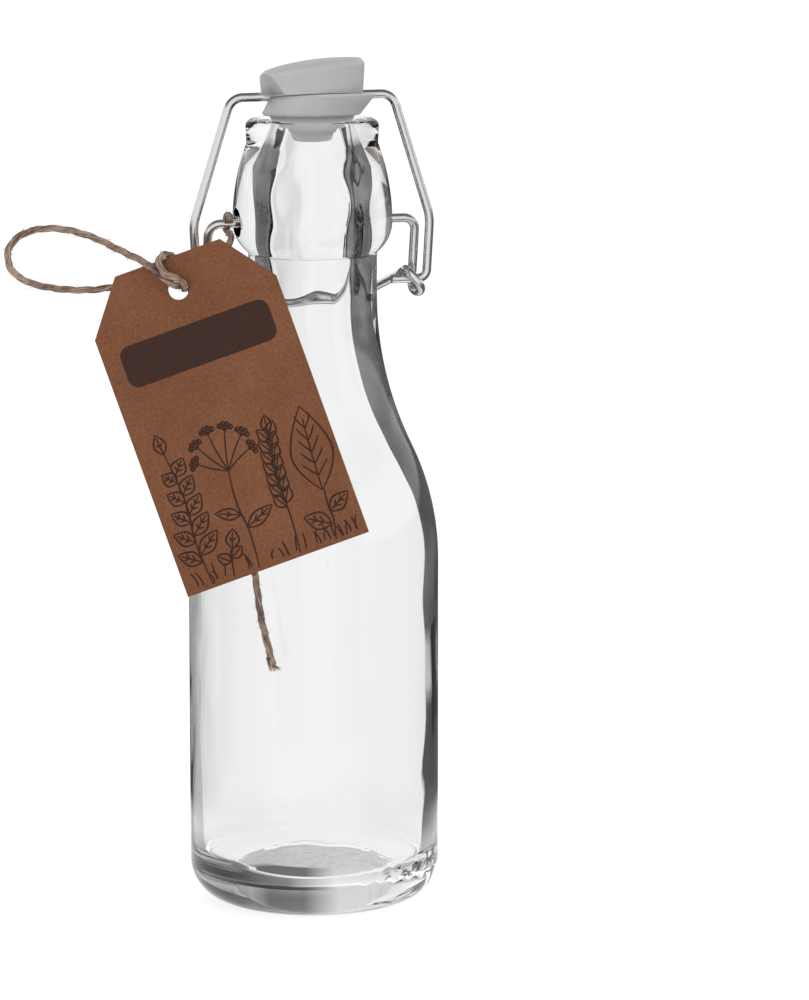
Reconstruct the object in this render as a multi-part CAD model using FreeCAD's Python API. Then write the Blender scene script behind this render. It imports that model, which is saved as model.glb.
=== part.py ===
import FreeCAD, Part
import math
import os

# Swing top bottle: a glass bottle, a wire bail closure with a plastic stopper, and a card tag on twine.
# Millimetres. Z is up, the bottle stands on Z = 0, and the closure swings about X.

Vector = FreeCAD.Vector

# Glass bottle, from the base up
body_d = 62.2
body_wall = 3.1
heel_r = 10.0
bearing_w = 2.6
push_up_h = 6.4
push_up_d = 25.0
floor_t = 4.0
floor_d = 28.4
groove_depth = 3.0
inner_heel_r = 7.5
straight_h = 86.2
shoulder_h = 66.0
shoulder_split = 0.43
neck_d = 31.8
neck_h = 9.5
collar_d = 39.4
collar_rise = 8.8
collar_taper_h = 19.3
waist_d = 32.4
lip_d = 32.8
lip_h = 5.9
lip_round = 1.0
bore_d = 19.0
mouth_d = 20.8
mouth_depth = 5.3
dimple_d = 8.0
dimple_depth = 2.4
socket_depth = 1.2

# Wire of the closure and its running clearances
wire_d = 2.2
wire_clearance = 0.15
end_gap = 0.3
swing_gap = 0.5

# Lever: pivot arms, cranks, wound eyes and the handle behind the neck
crank_standoff = 6.8
crank_l = 15.2
elbow_r = 3.0
eye_d = 3.5
eye_step_gap = 0.3
eye_sway = 2.0
handle_rest_angle = 45.0
handle_corner_r = 6.0
handle_lead = 3.0
handle_bend_r = 6.0

# Bail: pins, knees and the bar across the stopper
pin_standoff = 0.7
pin_tail = 2.5
pin_bend_r = 2.2
knee_out = 0.9
knee_rise = 15.3
knee_r = 12.0
bar_rise = 5.7
bar_overhang = 7.1
bar_corner_r = 4.0
bar_depth = 0.1

# Stopper: knob, flange, stem and button of the cap, and the sealing ring between them
flange_d = 27.0
flange_t = 1.8
flange_round = 0.5
knob_d = 25.8
knob_foot_d = 24.9
knob_flare_h = 5.0
knob_h = 9.0
knob_dome_r = 57.0
knob_peak_x = 7.0
knob_round = 1.8
facet_x = 9.7
facet_h = 6.4
stem_d = 12.0
stem_clearance = 0.1
button_d = 15.6
button_tip_d = 12.6
button_t = 2.2
gasket_d = 28.2
gasket_t = 3.1
gasket_round = 0.8
gasket_foot_d = 17.2
gasket_depth = 2.9
seal_clearance = 0.15
seal_neck = 0.3

# Card tag and where it hangs
tag_w = 46.6
tag_h = 78.9
tag_top_w = 26.9
tag_clip_h = 12.9
tag_t = 0.6
tag_hole_d = 4.5
tag_hole_inset = 7.0
tag_turn = 19.7
tag_azimuth = 16.0
tag_out = 32.7
tag_forward = 7.3
tag_drop = 12.4
tag_body_gap = 5.0

# Twine
twine_d = 1.9
twine_bend_share = 0.45
hitch_gap = 0.9
hitch_start_angle = 165.0
hitch_end_angle = -90.0
knot_d = 5.2
knot_l = 4.6
knot_face_gap = 0.15
knot_face_d = 4.42
knot_tip_d = 2.2
wrap_aside = 1.5

# Worked-out places
body_r = body_d / 2
neck_r = neck_d / 2
collar_r = collar_d / 2
lip_r = lip_d / 2
bore_r = bore_d / 2
mouth_r = mouth_d / 2
wire_r = wire_d / 2
twine_r = twine_d / 2
floor_z = push_up_h + floor_t
groove_z = floor_z - groove_depth
shoulder_z = straight_h + shoulder_h
collar_foot_z = shoulder_z + neck_h
pivot_z = collar_foot_z + collar_rise
lip_foot_z = pivot_z + collar_taper_h
rim_z = lip_foot_z + lip_h
pin_z = pivot_z - crank_l
bar_z = rim_z + bar_rise
crank_x = collar_r + crank_standoff
pin_x = crank_x + wire_d + pin_standoff
eye_r = (eye_d + wire_d) / 2
eye_z = pin_z - (eye_d / 2 - wire_r - wire_clearance)
eye_step = wire_d + eye_step_gap
flange_top = bar_z + bar_depth
flange_foot = flange_top - flange_t
gasket_foot = rim_z - gasket_depth


def straight(a, b):
    return Part.LineSegment(a, b).toShape()


def arc(a, middle, b):
    return Part.Arc(a, middle, b).toShape()


def at(radius, height):
    """A point of a profile in the XZ plane."""
    return Vector(radius, 0, height)


def revolve_about_z(edges):
    face = Part.Face(Part.Wire(edges))
    return face.revolve(Vector(0, 0, 0), Vector(0, 0, 1), 360)


def corner_arc(centre_r, centre_z, radius, start, end):
    """An arc of a profile about a centre, between two angles in degrees."""
    points = []
    for angle in (start, (start + end) / 2, end):
        turn = math.radians(angle)
        points.append(at(centre_r + radius * math.cos(turn), centre_z + radius * math.sin(turn)))
    return arc(*points)


def shoulder_arcs(low_r, low_z, high_r, high_z):
    """The S of a shoulder: an outward arc, then a hollow one, upright at both ends."""
    turn = 2 * math.atan((low_r - high_r) / (high_z - low_z))
    total = (high_z - low_z) / math.sin(turn)
    low = shoulder_split * total
    high = total - low
    joint = at(low_r - low * (1 - math.cos(turn)), low_z + low * math.sin(turn))
    half = turn / 2
    low_middle = at(low_r - low * (1 - math.cos(half)), low_z + low * math.sin(half))
    high_middle = at(high_r + high * (1 - math.cos(half)), high_z - high * math.sin(half))
    return [
        arc(at(low_r, low_z), low_middle, joint),
        arc(joint, high_middle, at(high_r, high_z)),
    ]


def collar_arc(end_r, end_z):
    """An arc of the collar, upright at its widest point, to a narrower point above or below."""
    drop = collar_r - end_r
    rise = end_z - pivot_z
    radius = (drop ** 2 + rise ** 2) / (2 * drop)
    half = math.asin(rise / radius) / 2
    middle = at(collar_r - radius * (1 - math.cos(half)), pivot_z + radius * math.sin(half))
    return arc(at(collar_r, pivot_z), middle, at(end_r, end_z))


def outer_profile():
    bearing_r = body_r - heel_r
    waist = at(waist_d / 2, lip_foot_z)
    return [
        straight(at(0, push_up_h), at(push_up_d / 2, push_up_h)),
        straight(at(push_up_d / 2, push_up_h), at(bearing_r - bearing_w, 0)),
        straight(at(bearing_r - bearing_w, 0), at(bearing_r, 0)),
        corner_arc(bearing_r, heel_r, heel_r, -90, 0),
        straight(at(body_r, heel_r), at(body_r, straight_h)),
        *shoulder_arcs(body_r, straight_h, neck_r, shoulder_z),
        straight(at(neck_r, shoulder_z), at(neck_r, collar_foot_z)),
        collar_arc(neck_r, collar_foot_z),
        collar_arc(waist_d / 2, lip_foot_z),
        straight(waist, at(lip_r, rim_z - lip_round)),
        corner_arc(lip_r - lip_round, rim_z - lip_round, lip_round, 0, 90),
    ]


def inner_profile():
    inner_r = body_r - body_wall
    corner_z = groove_z + inner_heel_r
    return [
        straight(at(lip_r - lip_round, rim_z), at(mouth_r, rim_z)),
        straight(at(mouth_r, rim_z), at(bore_r, rim_z - mouth_depth)),
        straight(at(bore_r, rim_z - mouth_depth), at(bore_r, shoulder_z)),
        *shoulder_arcs(inner_r, straight_h, bore_r, shoulder_z),
        straight(at(inner_r, straight_h), at(inner_r, corner_z)),
        corner_arc(inner_r - inner_heel_r, corner_z, inner_heel_r, 0, -90),
        straight(at(inner_r - inner_heel_r, groove_z), at(floor_d / 2, floor_z)),
        straight(at(floor_d / 2, floor_z), at(0, floor_z)),
        straight(at(0, floor_z), at(0, push_up_h)),
    ]


def dimple(side):
    """A flared dimple with a blind socket for the end of the lever, on one side of the collar."""
    outward = Vector(side, 0, 0)
    socket_r = wire_r + wire_clearance
    mouth_x = collar_r - dimple_depth
    flare = (dimple_d / 2 - socket_r) / dimple_depth
    cone = Part.makeCone(
        socket_r, socket_r + 2 * dimple_depth * flare, 2 * dimple_depth,
        Vector(side * mouth_x, 0, pivot_z), outward,
    )
    socket = Part.makeCylinder(
        socket_r, socket_depth + dimple_depth, Vector(side * (mouth_x - socket_depth), 0, pivot_z), outward
    )
    return cone.fuse(socket)


def make_bottle():
    edges = outer_profile() + inner_profile()
    glass = revolve_about_z(Part.__sortEdges__(edges))
    return glass.cut(dimple(1)).cut(dimple(-1))


def rounded_path(points, radii):
    """Straight runs joined by tangent arcs, with one radius for each inner point."""
    edges = []
    start = points[0]
    for before, corner, after, radius in zip(points, points[1:], points[2:], radii):
        back = (before - corner).normalize()
        ahead = (after - corner).normalize()
        half_turn = (math.pi - back.getAngle(ahead)) / 2
        reach = radius * math.tan(half_turn)
        inward = (back + ahead).normalize()
        middle = corner + inward * (radius / math.cos(half_turn) - radius)
        edges.append(straight(start, corner + back * reach))
        edges.append(arc(corner + back * reach, middle, corner + ahead * reach))
        start = corner + ahead * reach
    edges.append(straight(start, points[-1]))
    return edges


def tube(edges, diameter):
    """A round bar along a path."""
    path = Part.Wire(edges)
    first = edges[0]
    start = first.FirstParameter
    section = Part.Circle(first.valueAt(start), first.tangentAt(start), diameter / 2)
    return path.makePipeShell([Part.Wire([section.toShape()])], True, False)


def arc_from(a, tangent, b):
    """The arc that leaves a along a unit tangent and ends at b."""
    chord = b - a
    along = chord * (1 / chord.Length)
    aside = tangent - along * tangent.dot(along)
    angle = tangent.getAngle(along)
    middle = (a + b) * 0.5 + aside.normalize() * (chord.Length / 2 * math.tan(angle / 2))
    return arc(a, middle, b)


def biarc(a, tangent_a, b, tangent_b):
    """Two tangent arcs from a to b."""
    chord = b - a
    both = tangent_a + tangent_b
    bend = 2 * (1 - tangent_a.dot(tangent_b))
    along = chord.dot(both)
    reach = (math.sqrt(along ** 2 + bend * chord.dot(chord)) - along) / bend
    joint = (a + b) * 0.5 + (tangent_a - tangent_b) * (reach / 2)
    second = arc_from(b, tangent_b * -1, joint)
    return [arc_from(a, tangent_a, joint), second.reversed()]


def handle_bar():
    """Y and Z of the middle of the handle's back bar, which clears the lip as it swings over it."""
    lip_reach = math.hypot(lip_r - lip_round, rim_z - lip_round - pivot_z) + lip_round
    reach = lip_reach + wire_r + swing_gap
    turn = math.radians(handle_rest_angle)
    return reach * math.cos(turn), pivot_z - reach * math.sin(turn)


def eye_angles():
    """Where the crank runs into the eye, and where the handle leaves it, in degrees from +Y."""
    entry = 90 - math.degrees(math.acos(eye_r / (pivot_z - eye_z)))
    bar_y, bar_height = handle_bar()
    distance = math.hypot(bar_y, bar_height - eye_z)
    bearing = math.degrees(math.atan2(bar_height - eye_z, bar_y))
    leave = bearing + math.degrees(math.acos(eye_r / distance))
    return entry, leave - 360


def eye_point(angle, share):
    """A point of the wound eye and its direction, at an angle and a share of the way round."""
    turn = math.radians(angle)
    eased = share * share * (3 - 2 * share)
    swing = math.sin(math.pi * share)
    x = crank_x - eye_step * eased + eye_sway * swing ** 4
    point = Vector(x, eye_r * math.cos(turn), eye_z + eye_r * math.sin(turn))
    entry, leave = eye_angles()
    inward = eye_step * 6 * share * (1 - share)
    outward = eye_sway * 4 * math.pi * swing ** 3 * math.cos(math.pi * share)
    sideways = (inward - outward) / math.radians(entry - leave)
    direction = Vector(-sideways, eye_r * math.sin(turn), -eye_r * math.cos(turn))
    return point, direction.normalize()


def wound_eye():
    """One open turn of wire round the bail's pin, as pairs of tangent arcs."""
    entry, leave = eye_angles()
    shares = (0, 0.25, 0.5, 0.75, 1)
    stations = [eye_point(entry + (leave - entry) * share, share) for share in shares]
    edges = []
    for (a, tangent_a), (b, tangent_b) in zip(stations, stations[1:]):
        edges += biarc(a, tangent_a, b, tangent_b)
    return edges


def make_lever_wire():
    entry, leave = eye_angles()
    eye_in = eye_point(entry, 0)[0]
    eye_out, handle_direction = eye_point(leave, 1)
    arm_end = Vector(collar_r - dimple_depth - socket_depth + end_gap, 0, pivot_z)
    elbow = Vector(crank_x, 0, pivot_z)
    bar_y, bar_height = handle_bar()
    corner_x = lip_r + wire_r + swing_gap
    arm = rounded_path([arm_end, elbow, eye_in], [elbow_r])
    handle = rounded_path(
        [
            eye_out,
            eye_out + handle_direction * handle_lead,
            Vector(corner_x, bar_y, bar_height),
            Vector(0, bar_y, bar_height),
        ],
        [handle_bend_r, handle_corner_r],
    )
    half = tube(arm + wound_eye() + handle, wire_d)
    other = half.mirror(Vector(0, 0, 0), Vector(1, 0, 0))
    return half.fuse(other).removeSplitter()


def make_bail_wire():
    bar_x = flange_d / 2 + bar_overhang
    points = [
        Vector(crank_x - eye_step - wire_r - pin_tail, 0, pin_z),
        Vector(pin_x, 0, pin_z),
        Vector(pin_x + knee_out, 0, pin_z + knee_rise),
        Vector(bar_x, 0, bar_z),
        Vector(0, 0, bar_z),
    ]
    half = tube(rounded_path(points, [pin_bend_r, knee_r, bar_corner_r]), wire_d)
    other = half.mirror(Vector(0, 0, 0), Vector(1, 0, 0))
    return half.fuse(other).removeSplitter()


def slanted_knob():
    """The round knob, with a dome for a top that peaks to one side."""
    foot_r = knob_foot_d / 2
    knob_r = knob_d / 2
    top = flange_top + 2 * knob_h
    outline = Part.makePolygon([
        at(0, flange_top),
        at(foot_r, flange_top),
        at(knob_r, flange_top + knob_flare_h),
        at(knob_r, top),
        at(0, top),
        at(0, flange_top),
    ])
    blank = revolve_about_z(outline.Edges)
    dome_centre = Vector(knob_peak_x, 0, flange_top + knob_h - knob_dome_r)
    knob = blank.common(Part.makeSphere(knob_dome_r, dome_centre, Vector(0, 1, 0)))
    crown = []
    for edge in knob.Edges:
        point = edge.valueAt((edge.FirstParameter + edge.LastParameter) / 2)
        on_dome = abs((point - dome_centre).Length - knob_dome_r) < 0.001
        if on_dome and abs(math.hypot(point.x, point.y) - knob_r) < 0.001:
            crown.append(edge)
    return knob.makeFillet(knob_round, crown)


def side_facet(side):
    """The wedge cut away over the wire where it enters the knob."""
    outer_x = knob_d
    height = facet_h * (outer_x - facet_x) / (knob_d / 2 - facet_x)
    wedge = Part.makePolygon([
        Vector(side * facet_x, -knob_d, flange_top),
        Vector(side * outer_x, -knob_d, flange_top),
        Vector(side * outer_x, -knob_d, flange_top + height),
        Vector(side * facet_x, -knob_d, flange_top),
    ])
    return Part.Face(wedge).extrude(Vector(0, 2 * knob_d, 0))


def make_stopper_cap():
    flange = Part.makeCylinder(flange_d / 2, flange_t, Vector(0, 0, flange_foot))
    flange = flange.makeFillet(flange_round, [e for e in flange.Edges if e.Closed])
    stem = Part.makeCylinder(stem_d / 2, flange_foot - gasket_foot, Vector(0, 0, gasket_foot))
    button = Part.makeCone(button_tip_d / 2, button_d / 2, button_t, Vector(0, 0, gasket_foot - button_t))
    knob = slanted_knob().cut(side_facet(1)).cut(side_facet(-1))
    cap = knob.fuse([flange, stem, button])
    bore_start = Vector(-flange_d, 0, bar_z)
    bore = Part.makeCylinder(wire_r + wire_clearance, 2 * flange_d, bore_start, Vector(1, 0, 0))
    return cap.cut(bore).removeSplitter()


def make_stopper_gasket():
    hole_r = stem_d / 2 + stem_clearance
    seal_r = mouth_r - seal_clearance
    rim_r = gasket_d / 2
    ring_foot = flange_foot - gasket_t
    outline = Part.makePolygon([
        at(hole_r, gasket_foot),
        at(gasket_foot_d / 2, gasket_foot),
        at(seal_r, rim_z),
        at(seal_r + seal_neck, ring_foot),
        at(rim_r - gasket_round, ring_foot),
        at(rim_r, ring_foot + gasket_round),
        at(rim_r, flange_foot - gasket_round),
        at(rim_r - gasket_round, flange_foot),
        at(hole_r, flange_foot),
        at(hole_r, gasket_foot),
    ])
    return revolve_about_z(outline.Edges)


def tag_frame():
    """The middle of the tag's hole, and the tag's right, up and front directions before it is turned."""
    azimuth = math.radians(tag_azimuth)
    right = Vector(math.cos(azimuth), -math.sin(azimuth), 0)
    away = Vector(math.sin(azimuth), math.cos(azimuth), 0)
    hole_front = collar_r + tag_forward
    hole_z = pivot_z - tag_drop
    lean = math.atan((body_r + tag_body_gap - hole_front) / (hole_z - straight_h))
    up = Vector(0, 0, math.cos(lean)) + away * math.sin(lean)
    hole = right * -tag_out + away * -hole_front + Vector(0, 0, hole_z)
    return hole, right, up, right.cross(up)


def on_tag(x, y, front):
    """A point given to the right of, above and in front of the middle of the tag's hole."""
    hole, right, up, normal = tag_frame()
    return hole + right * x + up * y + normal * front


def turned(x, y):
    """Right and up of a point of the card, once the card is turned about its hole."""
    turn = math.radians(tag_turn)
    return x * math.cos(turn) - y * math.sin(turn), x * math.sin(turn) + y * math.cos(turn)


def make_tag_card():
    shoulder_y = tag_hole_inset - tag_clip_h
    foot_y = tag_hole_inset - tag_h
    corners = [
        (-tag_top_w / 2, tag_hole_inset),
        (tag_top_w / 2, tag_hole_inset),
        (tag_w / 2, shoulder_y),
        (tag_w / 2, foot_y),
        (-tag_w / 2, foot_y),
        (-tag_w / 2, shoulder_y),
    ]
    outline = [on_tag(*turned(x, y), -tag_t / 2) for x, y in corners]
    hole, right, up, normal = tag_frame()
    card = Part.Face(Part.makePolygon(outline + outline[:1])).extrude(normal * tag_t)
    punch = Part.makeCylinder(tag_hole_d / 2, 2 * tag_t, hole - normal * tag_t, normal)
    return card.cut(punch)


def cord_path(name, points):
    """A cord's runs and arcs, each arc as large as its two runs allow."""
    radii = []
    for before, corner, after in zip(points, points[1:], points[2:]):
        half_turn = (math.pi - (before - corner).getAngle(after - corner)) / 2
        shorter = min((before - corner).Length, (after - corner).Length)
        radii.append(twine_bend_share * shorter / math.tan(half_turn))
    edges = rounded_path(points, radii)
    length = sum(edge.Length for edge in edges)
    print(name, "length", round(length, 1), "radii", [round(radius, 1) for radius in radii])
    return edges


def cord(name, points):
    edges = cord_path(name, points)
    solid = tube(edges, twine_d)
    expected = math.pi * twine_r ** 2 * sum(edge.Length for edge in edges)
    print(name, "volume over section times length", round(solid.Volume / expected, 4))
    return solid


def hitch_centre():
    return Vector(-(collar_r + hitch_gap + twine_r), 0, pivot_z)


def hitch_point(angle):
    """A point of the turn round the arm, at an angle in degrees from +Y."""
    ring_r = wire_r + wire_clearance + twine_r
    turn = math.radians(angle)
    return hitch_centre() + Vector(0, ring_r * math.cos(turn), ring_r * math.sin(turn))


def make_twine_hitch():
    """The turn of twine round the left pivot arm, which ends under the arm where the lead goes on."""
    quarter = (hitch_end_angle - hitch_start_angle) / 4
    stations = [hitch_point(hitch_start_angle + quarter * count) for count in range(5)]
    return tube([arc(*stations[:3]), arc(*stations[2:])], twine_d)


def knot_back():
    return tag_t / 2 + knot_face_gap + knot_l


def make_twine_knot():
    """The barrel of the knot behind the hole, on the line about which the tag swings."""
    hole, right, up, normal = tag_frame()
    front = -(tag_t / 2 + knot_face_gap)
    back = -knot_back()
    front_middle = hole + normal * front
    back_middle = hole + normal * back
    front_edge = front_middle + up * (knot_face_d / 2)
    back_edge = back_middle + up * (knot_tip_d / 2)
    swell = (front_middle + back_middle) * 0.5 + up * (knot_d / 2)
    outline = [
        straight(front_middle, front_edge),
        arc(front_edge, swell, back_edge),
        straight(back_edge, back_middle),
        straight(back_middle, front_middle),
    ]
    return Part.Face(Part.Wire(outline)).revolve(hole, normal, 360)


def make_twine_lead():
    """From the hitch, slack, to the back of the knot, which it meets on the line of the tag's swing."""
    ring_foot = hitch_point(hitch_end_angle)
    points = [
        ring_foot,
        ring_foot + Vector(0, -3.0, 0),
        ring_foot + Vector(-1.2, -6.3, -1.6),
        ring_foot + Vector(-3.2, -8.4, -5.2),
        ring_foot + Vector(-5.4, -8.8, -9.4),
        ring_foot + Vector(-8.0, -8.2, -13.2),
        on_tag(2.5, -2.6, -knot_back() - 6.4),
        on_tag(0, -1.3, -knot_back() - 4.9),
        on_tag(0, 0, -knot_back() - 2.2),
        on_tag(0, 0, -knot_back()),
    ]
    return cord("twine_lead", points)


def make_twine_loop(knot):
    """Through the hole to the front, over the top edge of the card, and round to the back of it."""
    front = tag_t / 2 + twine_r + wire_clearance
    back = -front - wire_clearance
    entry = -(tag_t / 2 + knot_face_gap)
    points = [
        on_tag(-0.58, -0.79, entry),
        on_tag(-0.62, -0.76, front - 0.1),
        on_tag(-1.7, 0.1, front + 1.0),
        on_tag(-4.2, 2.1, front + 0.7),
        on_tag(-8.0, 5.2, front + 0.3),
        on_tag(-13.0, 8.2, front + 0.2),
        on_tag(-19.2, 11.2, front),
        on_tag(-25.4, 13.3, front - 0.3),
        on_tag(-31.6, 13.9, front - 0.7),
        on_tag(-37.6, 12.6, front - 1.2),
        on_tag(-41.3, 8.6, front - 1.7),
        on_tag(-40.4, 3.4, front - 2.2),
        on_tag(-35.8, 0.4, front - 2.6),
        on_tag(-29.8, -0.8, back),
        on_tag(-23.6, -1.3, back - 0.2),
        on_tag(-17.4, -0.9, back - 0.3),
        on_tag(-11.2, -0.3, back - 0.3),
        on_tag(-5.4, 0.1, back - 0.5),
        on_tag(-1.2, 0.1, back - 0.7),
    ]
    return cord("twine_loop", points).cut(knot)


def make_twine_wrap(knot):
    """The second strand, through the hole and round the top edge of the card."""
    front = tag_t / 2 + twine_r + wire_clearance
    entry = -(tag_t / 2 + knot_face_gap)
    edge_x, edge_y = turned(-wrap_aside, tag_hole_inset)
    fold_r = front + wire_clearance
    points = [
        on_tag(0.58, 0.79, entry),
        on_tag(0.5, 0.9, front - 0.1),
        on_tag(-0.3, 2.0, front + 0.9),
        on_tag(-1.9, 4.2, front + 0.7),
    ]
    for angle in (60, 0, -60):
        turn = math.radians(angle)
        corner = fold_r / math.cos(math.radians(30))
        points.append(on_tag(edge_x, edge_y + corner * math.cos(turn), corner * math.sin(turn)))
    points.append(on_tag(-0.9, 2.6, -front - 0.8))
    points.append(on_tag(-0.3, 0.8, -front - 0.9))
    return cord("twine_wrap", points).cut(knot)


def make_twine_tail(knot):
    """From the knot down behind the card, out below its lower edge."""
    back = -(tag_t / 2 + twine_r + 2 * wire_clearance)
    points = [
        on_tag(0.3, -1.0, back - 0.9),
        on_tag(2.0, -8.5, back - 0.5),
        on_tag(4.6, -18.5, back),
        on_tag(7.8, -30.0, back - 0.3),
        on_tag(10.6, -41.5, back),
        on_tag(13.8, -52.5, back - 0.2),
        on_tag(16.9, -62.5, back),
        on_tag(18.8, -71.5, back - 0.1),
        on_tag(19.6, -79.5, back),
        on_tag(21.4, -87.0, back - 0.1),
        on_tag(22.8, -92.2, back),
    ]
    return cord("twine_tail", points).cut(knot)


knot_solid = make_twine_knot()
nodes = {
    "bottle": make_bottle(),
    "lever_wire": make_lever_wire(),
    "bail_wire": make_bail_wire(),
    "stopper_cap": make_stopper_cap(),
    "stopper_gasket": make_stopper_gasket(),
    "tag_card": make_tag_card(),
    "twine_hitch": make_twine_hitch(),
    "twine_lead": make_twine_lead(),
    "twine_knot": knot_solid,
    "twine_loop": make_twine_loop(knot_solid),
    "twine_wrap": make_twine_wrap(knot_solid),
    "twine_tail": make_twine_tail(knot_solid),
}

os.makedirs("parts", exist_ok=True)
for name, shape in nodes.items():
    shape.exportStep(f"parts/{name}.step")
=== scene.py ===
import math
import random

import bmesh
import bpy
from mathutils import Matrix, Vector, noise


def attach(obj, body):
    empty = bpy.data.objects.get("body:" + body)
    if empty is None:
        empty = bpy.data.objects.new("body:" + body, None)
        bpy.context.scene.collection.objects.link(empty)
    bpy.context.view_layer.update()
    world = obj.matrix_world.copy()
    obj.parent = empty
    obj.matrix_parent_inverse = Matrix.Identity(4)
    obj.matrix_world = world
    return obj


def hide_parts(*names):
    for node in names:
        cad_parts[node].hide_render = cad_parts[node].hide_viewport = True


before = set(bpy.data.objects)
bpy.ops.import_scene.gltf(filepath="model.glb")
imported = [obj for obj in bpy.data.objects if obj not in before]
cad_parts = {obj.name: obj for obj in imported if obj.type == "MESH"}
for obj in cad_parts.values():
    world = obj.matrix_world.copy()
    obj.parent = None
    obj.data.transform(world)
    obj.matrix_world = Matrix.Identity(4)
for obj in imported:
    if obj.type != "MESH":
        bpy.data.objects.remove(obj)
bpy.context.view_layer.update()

mm = 0.001

# Glass bottle.
# Clear soda glass blown in a mould: the outside is smooth, the inside is uneven where the hot glass
# settled, the base is pushed up and frosted, and two dimples in the collar take the lever's ends.
turn_steps = 288
body_radius = 31.1
shoulder_height = 86.2
neck_height = 152.2
pivot_height = 170.5
lip_height = 195.7
bore_radius = 9.5
collar_radius = 19.7
dimple_radius = 4.0
dimple_reach = 5.5
dimple_depth = 2.4
socket_radius = 1.45
socket_depth = 3.6
inner_floor_top = 13
swell_depth = 0.24
ripple_depth = 0.1
neck_ripple_depth = 0.03
neck_wave_depth = 0.85
floor_edge_radius = 15
floor_edge_wave = 0.5
floor_pit_depth = 0.55
inner_slot = 1
under_slot = 2
glass_index = 1.5
lip_index = 1.09
glass_tint = (0.962, 0.966, 0.964, 1)
# Painted shade for the heel of the outer skin.
heel_painted_shade = (0.04, 0.04, 0.04, 1)
# Painted reflection colours for the dimples and the inside of the lip.
socket_painted_reflection = (0.7, 0.7, 0.7, 1)
lip_painted_reflection = (0.9, 0.9, 0.9, 1)
shadow_tint = (0.9, 0.91, 0.905, 1)
# Two directions on the bottle as it stands with the face of its tag to the front.
right_hand = Vector((0.961, -0.276, 0))
rearward = Vector((0.276, 0.961, 0))


def new_piece(name, bm, material):
    """A finished mesh as an object at the origin."""
    mesh = bpy.data.meshes.new(name)
    bm.to_mesh(mesh)
    bm.free()
    mesh.shade_smooth()
    mesh.materials.append(material)
    piece = bpy.data.objects.new(name, mesh)
    bpy.context.scene.collection.objects.link(piece)
    return piece


def node_adder(tree):
    """A function that adds a node to a tree, with its settings and what goes into its sockets."""

    def add(kind, settings=None, **sockets):
        node = tree.nodes.new("ShaderNode" + kind)
        for key, value in (settings or {}).items():
            setattr(node, key, value)
        for key, value in sockets.items():
            socket = node.inputs[int(key[1:]) if key[0] == "_" else key.replace("_", " ")]
            if isinstance(value, bpy.types.NodeSocket):
                tree.links.new(value, socket)
            else:
                socket.default_value = value
        return node

    return add


def new_finish(name):
    """A material, its node tree, its surface shader and the function that adds a node to it."""
    material = bpy.data.materials.new(name)
    material.use_nodes = True
    tree = material.node_tree
    return material, tree, tree.nodes["Principled BSDF"], node_adder(tree)


def ramp(add, value, start, end, first, last, smooth=False):
    """A value carried over from one range to another and held beyond its ends."""
    settings = {"interpolation_type": "SMOOTHSTEP"} if smooth else {}
    return add("MapRange", settings, Value=value, _1=start, _2=end, _3=first, _4=last).outputs[0]


def calc(add, operation, *values):
    """The result of one sum on values or sockets."""
    sockets = {f"_{index}": value for index, value in enumerate(values)}
    return add("Math", {"operation": operation}, **sockets).outputs[0]


def along(add, coords, direction):
    """How far a point lies along a direction."""
    return add("VectorMath", {"operation": "DOT_PRODUCT"}, _0=coords, _1=direction).outputs["Value"]


def mix_colours(add, share, first, second):
    """Two colours, mixed by the share of the second."""
    return add("MixRGB", Fac=share, Color1=first, Color2=second).outputs[0]


def mix_shaders(add, share, first, second):
    """Two shaders, mixed by the share of the second."""
    return add("MixShader", _0=share, _1=first, _2=second).outputs[0]


def finish_glass(tree, add, shader):
    """Gives a glass its shader, and lets lamp light through so that its shadow stays pale."""
    in_shadow = add("LightPath").outputs["Is Shadow Ray"]
    clear = add("BsdfTransparent", Color=shadow_tint).outputs[0]
    through = mix_shaders(add, in_shadow, shader, clear)
    tree.links.new(through, tree.nodes["Material Output"].inputs["Surface"])


def held(value):
    """A number held between 0 and 1."""
    return max(0.0, min(1.0, value))


def run(bm, pen, radius, height, steps=1):
    """Draws a straight run of a turned profile, in millimetres."""
    start = pen.co.copy()
    end = Vector((radius, 0, height)) * mm
    for step in range(1, steps + 1):
        pen = bmesh.ops.extrude_vert_indiv(bm, verts=[pen])["verts"][0]
        pen.co = start.lerp(end, step / steps)
    return pen


def bend(bm, pen, centre_radius, centre_height, degrees, steps):
    """Draws an arc of a turned profile about a centre, in millimetres and degrees."""
    centre = Vector((centre_radius, 0, centre_height)) * mm
    arc = bmesh.ops.spin(
        bm, geom=[pen], cent=centre, axis=(0, -1, 0), angle=math.radians(degrees), steps=steps
    )
    return [part for part in arc["geom_last"] if isinstance(part, bmesh.types.BMVert)][0]


def turn_profile(bm):
    """Spins a drawn profile once round the Z axis and closes its seam and poles."""
    bmesh.ops.spin(
        bm, geom=bm.verts[:] + bm.edges[:], cent=(0, 0, 0), axis=(0, 0, 1),
        angle=math.tau, steps=turn_steps, use_merge=True,
    )
    bmesh.ops.remove_doubles(bm, verts=bm.verts, dist=0.001 * mm)
    bmesh.ops.recalc_face_normals(bm, faces=bm.faces)


bm = bmesh.new()
inside = bm.verts.layers.float.new("inside")
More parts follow.
